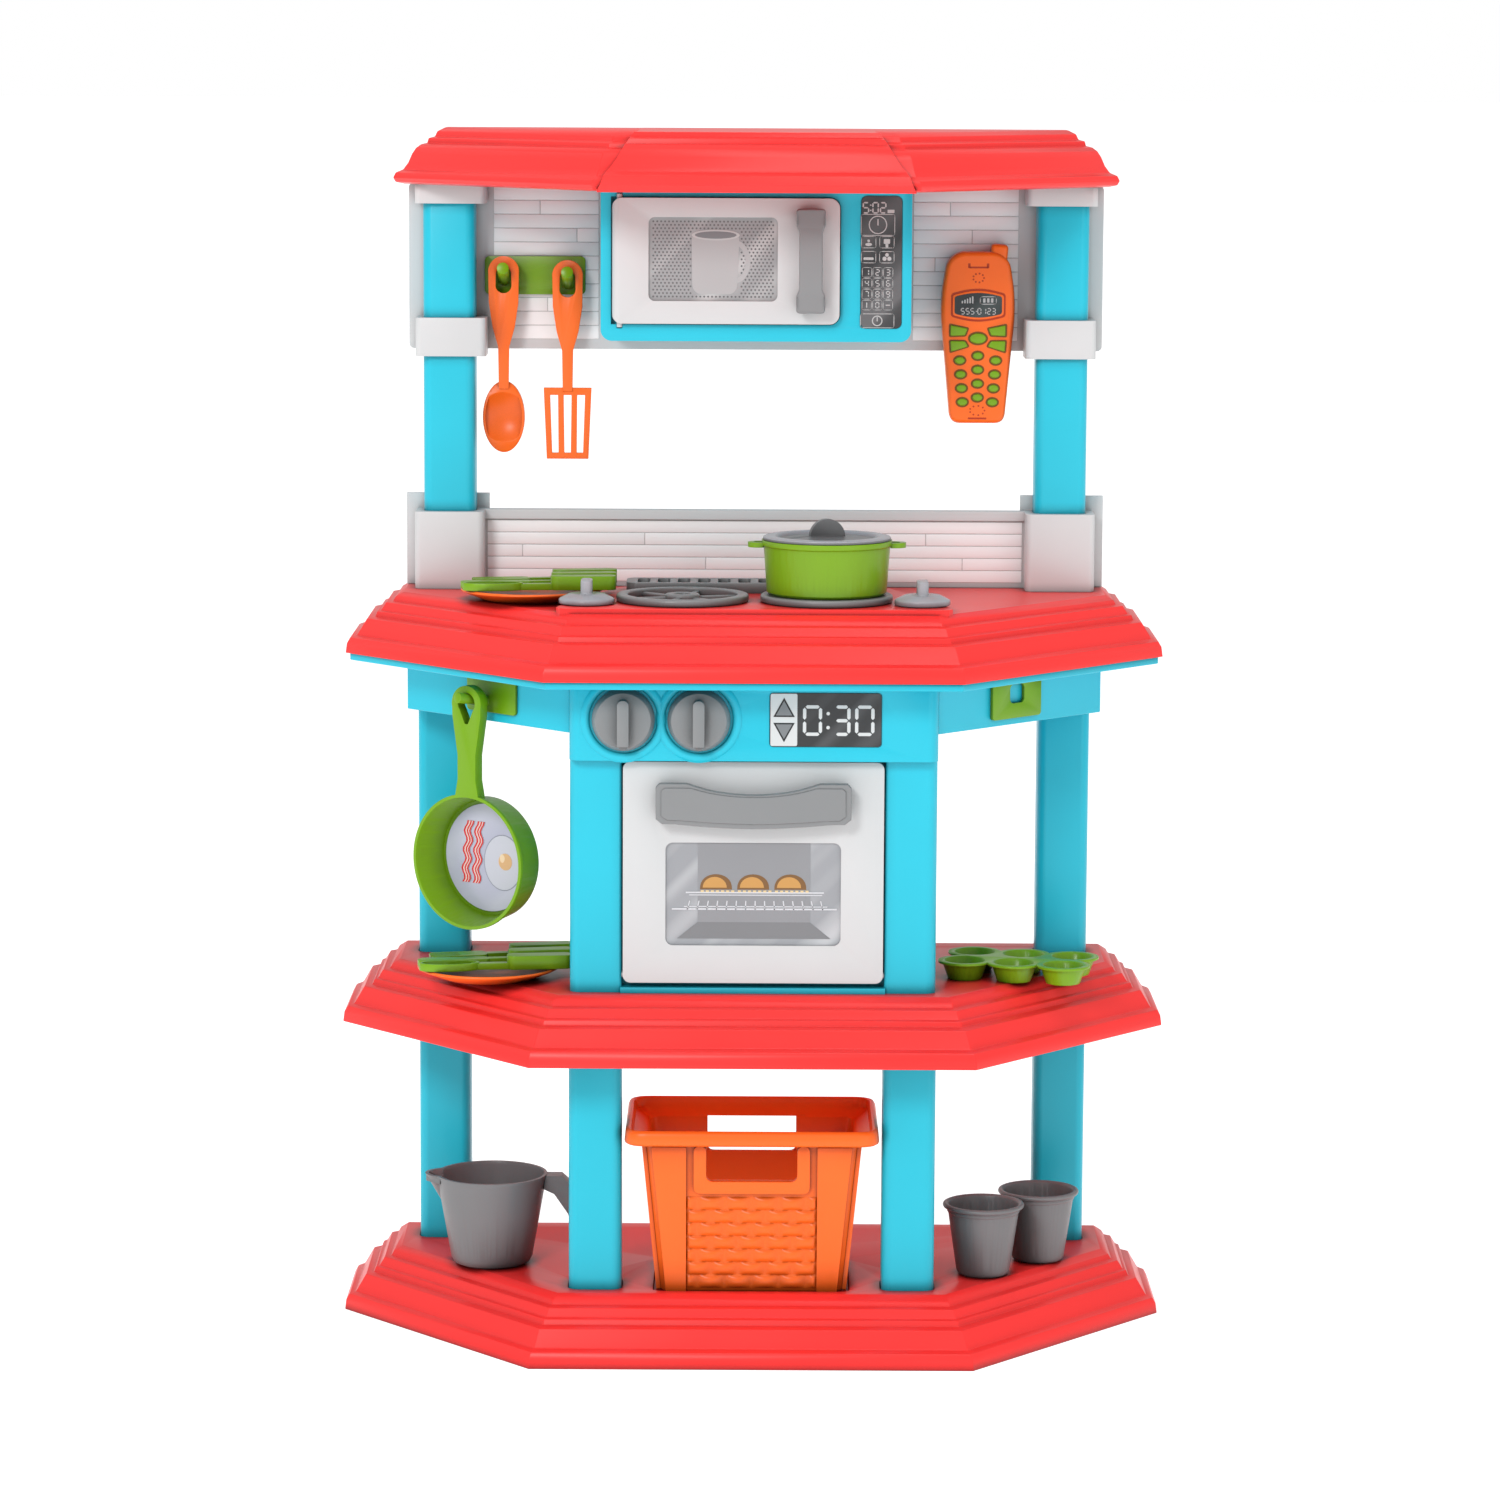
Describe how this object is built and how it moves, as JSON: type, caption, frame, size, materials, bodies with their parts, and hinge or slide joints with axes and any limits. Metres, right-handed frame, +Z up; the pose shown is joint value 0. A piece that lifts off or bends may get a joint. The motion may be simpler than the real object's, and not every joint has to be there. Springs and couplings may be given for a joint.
{
  "type": "toy kitchen",
  "caption": "Toy kitchen in moulded plastic: three stepped tiers on posts with an oven, hob, wall microwave, roof, hanging pan and utensils, tableware, jug, cups, basket and telephone.",
  "frame": {"origin": "middle of the footprint on the floor", "axes": "+Z up, +X to the viewer's right when facing the oven, +Y towards the back"},
  "size_m": [0.668, 0.286, 0.9645],
  "materials": {
    "red_moulding": "satin moulded red",
    "blue_moulding": "satin moulded turquoise blue",
    "white_moulding": "satin moulded white",
    "green_plastic": "satin moulded green",
    "orange_plastic": "satin moulded orange",
    "grey_plastic": "satin moulded grey",
    "dark_grey_plastic": "satin moulded dark grey",
    "window_print": "printed window picture",
    "timer_print": "printed timer face",
    "keypad_print": "printed keypad face",
    "pan_print": "printed food picture",
    "screen_grey": "moulded grey screen",
    "screw_steel": "zinc-plated steel"
  },
  "bodies": {
    "kitchen": {"base": "red_moulding", "lower_rear_post_left": "blue_moulding", "lower_rear_post_right": "blue_moulding", "lower_front_post_left": "blue_moulding", "lower_front_post_right": "blue_moulding", "middle_shelf": "red_moulding", "middle_rear_post_left": "blue_moulding", "middle_rear_post_right": "blue_moulding", "oven_front": "blue_moulding", "oven_box": "blue_moulding", "timer_panel": "timer_print", "counter_apron": "blue_moulding", "countertop": "red_moulding", "pan_hook_plate": "green_plastic", "slot_hook_plate": "green_plastic", "burner_left": "grey_plastic", "burner_right": "grey_plastic", "grill_grate": "grey_plastic", "backsplash": "white_moulding", "upper_post_left": "blue_moulding", "upper_post_right": "blue_moulding", "wall_panel": "white_moulding", "microwave_frame": "blue_moulding", "microwave_keypad": "keypad_print", "roof": "red_moulding", "utensil_hook_plate": "green_plastic", "assembly_screws": "screw_steel"},
    "oven_door": {"oven_door": "white_moulding", "oven_handle": "grey_plastic", "oven_window": "window_print"},
    "microwave_door": {"microwave_door": "white_moulding", "microwave_handle": "grey_plastic", "microwave_window": "window_print"},
    "oven_knob_left": {"oven_knob_left": "grey_plastic"},
    "oven_knob_right": {"oven_knob_right": "grey_plastic"},
    "hob_knob_left": {"hob_knob_left": "grey_plastic"},
    "hob_knob_right": {"hob_knob_right": "grey_plastic"},
    "pot": {"pot": "green_plastic"},
    "pot_lid": {"pot_lid": "dark_grey_plastic"},
    "pan": {"pan": "green_plastic", "pan_picture": "pan_print"},
    "spoon": {"spoon": "orange_plastic"},
    "spatula": {"spatula": "orange_plastic"},
    "phone": {"phone_body": "orange_plastic", "phone_keypad": "green_plastic", "phone_screen": "screen_grey"},
    "counter_plate": {"counter_plate": "orange_plastic"},
    "counter_fork": {"counter_fork": "green_plastic"},
    "counter_knife": {"counter_knife": "green_plastic"},
    "counter_spoon": {"counter_spoon": "green_plastic"},
    "shelf_plate": {"shelf_plate": "orange_plastic"},
    "shelf_fork": {"shelf_fork": "green_plastic"},
    "shelf_knife": {"shelf_knife": "green_plastic"},
    "shelf_spoon": {"shelf_spoon": "green_plastic"},
    "muffin_tin": {"muffin_tin": "green_plastic"},
    "jug": {"jug": "dark_grey_plastic"},
    "cup_front": {"cup_front": "grey_plastic"},
    "cup_back": {"cup_back": "grey_plastic"},
    "basket": {"basket": "orange_plastic"}
  },
  "joints": [
    {"name": "oven_door_hinge", "type": "hinge", "parent": "kitchen", "child": "oven_door", "pos_m": [0, -0.081, 0.3045], "axis": [1, 0, 0], "range_deg": [0, 90]},
    {"name": "microwave_door_hinge", "type": "hinge", "parent": "kitchen", "child": "microwave_door", "pos_m": [-0.108, 0, 0.862], "axis": [0, 0, -1], "range_deg": [0, 100]},
    {"name": "oven_knob_left_turn", "type": "hinge", "parent": "kitchen", "child": "oven_knob_left", "pos_m": [-0.102, -0.098, 0.51], "axis": [0, -1, 0], "continuous": true},
    {"name": "oven_knob_right_turn", "type": "hinge", "parent": "kitchen", "child": "oven_knob_right", "pos_m": [-0.043, -0.098, 0.51], "axis": [0, -1, 0], "continuous": true},
    {"name": "hob_knob_left_turn", "type": "hinge", "parent": "kitchen", "child": "hob_knob_left", "pos_m": [-0.132, -0.058, 0.6], "axis": [0, 0, 1], "continuous": true},
    {"name": "hob_knob_right_turn", "type": "hinge", "parent": "kitchen", "child": "hob_knob_right", "pos_m": [0.132, -0.058, 0.6], "axis": [0, 0, 1], "continuous": true},
    {"name": "pot_lift", "type": "slide", "parent": "kitchen", "child": "pot", "axis": [0, 0, 1], "range_m": [0, 0.05]},
    {"name": "pot_lid_lift", "type": "slide", "parent": "pot", "child": "pot_lid", "axis": [0, 0, 1], "range_m": [0, 0.05]},
    {"name": "pan_lift_off", "type": "slide", "parent": "kitchen", "child": "pan", "axis": [-0.7051, -0.6876, 0.1736], "range_m": [0, 0.055]},
    {"name": "spoon_lift_off", "type": "slide", "parent": "kitchen", "child": "spoon", "axis": [0, -0.9397, 0.342], "range_m": [0, 0.08]},
    {"name": "spatula_lift_off", "type": "slide", "parent": "kitchen", "child": "spatula", "axis": [0, -0.9397, 0.342], "range_m": [0, 0.08]},
    {"name": "phone_lift_off", "type": "slide", "parent": "kitchen", "child": "phone", "axis": [0, -0.9397, 0.342], "range_m": [0, 0.08]},
    {"name": "counter_plate_lift", "type": "slide", "parent": "kitchen", "child": "counter_plate", "axis": [0, 0, 1], "range_m": [0, 0.05]},
    {"name": "counter_fork_lift", "type": "slide", "parent": "counter_plate", "child": "counter_fork", "axis": [0, 0, 1], "range_m": [0, 0.03]},
    {"name": "counter_knife_lift", "type": "slide", "parent": "counter_plate", "child": "counter_knife", "axis": [0, 0, 1], "range_m": [0, 0.03]},
    {"name": "counter_spoon_lift", "type": "slide", "parent": "counter_plate", "child": "counter_spoon", "axis": [0, 0, 1], "range_m": [0, 0.03]},
    {"name": "shelf_plate_pull", "type": "slide", "parent": "kitchen", "child": "shelf_plate", "axis": [-0.985, 0, 0.1725], "range_m": [0, 0.2]},
    {"name": "shelf_fork_lift", "type": "slide", "parent": "shelf_plate", "child": "shelf_fork", "axis": [0, 0, 1], "range_m": [0, 0.012]},
    {"name": "shelf_knife_lift", "type": "slide", "parent": "shelf_plate", "child": "shelf_knife", "axis": [0, 0, 1], "range_m": [0, 0.012]},
    {"name": "shelf_spoon_lift", "type": "slide", "parent": "shelf_plate", "child": "shelf_spoon", "axis": [0, 0, 1], "range_m": [0, 0.012]},
    {"name": "muffin_tin_pull", "type": "slide", "parent": "kitchen", "child": "muffin_tin", "axis": [0.985, 0, 0.1725], "range_m": [0, 0.18]},
    {"name": "jug_pull", "type": "slide", "parent": "kitchen", "child": "jug", "axis": [-0.985, 0, 0.1725], "range_m": [0, 0.18]},
    {"name": "cup_front_pull", "type": "slide", "parent": "kitchen", "child": "cup_front", "axis": [0, -0.985, 0.1725], "range_m": [0, 0.15]},
    {"name": "cup_back_pull", "type": "slide", "parent": "kitchen", "child": "cup_back", "axis": [0.985, 0, 0.1725], "range_m": [0, 0.15]},
    {"name": "basket_pull", "type": "slide", "parent": "kitchen", "child": "basket", "axis": [0, -0.966, 0.2585], "range_m": [0, 0.18]}
  ]
}
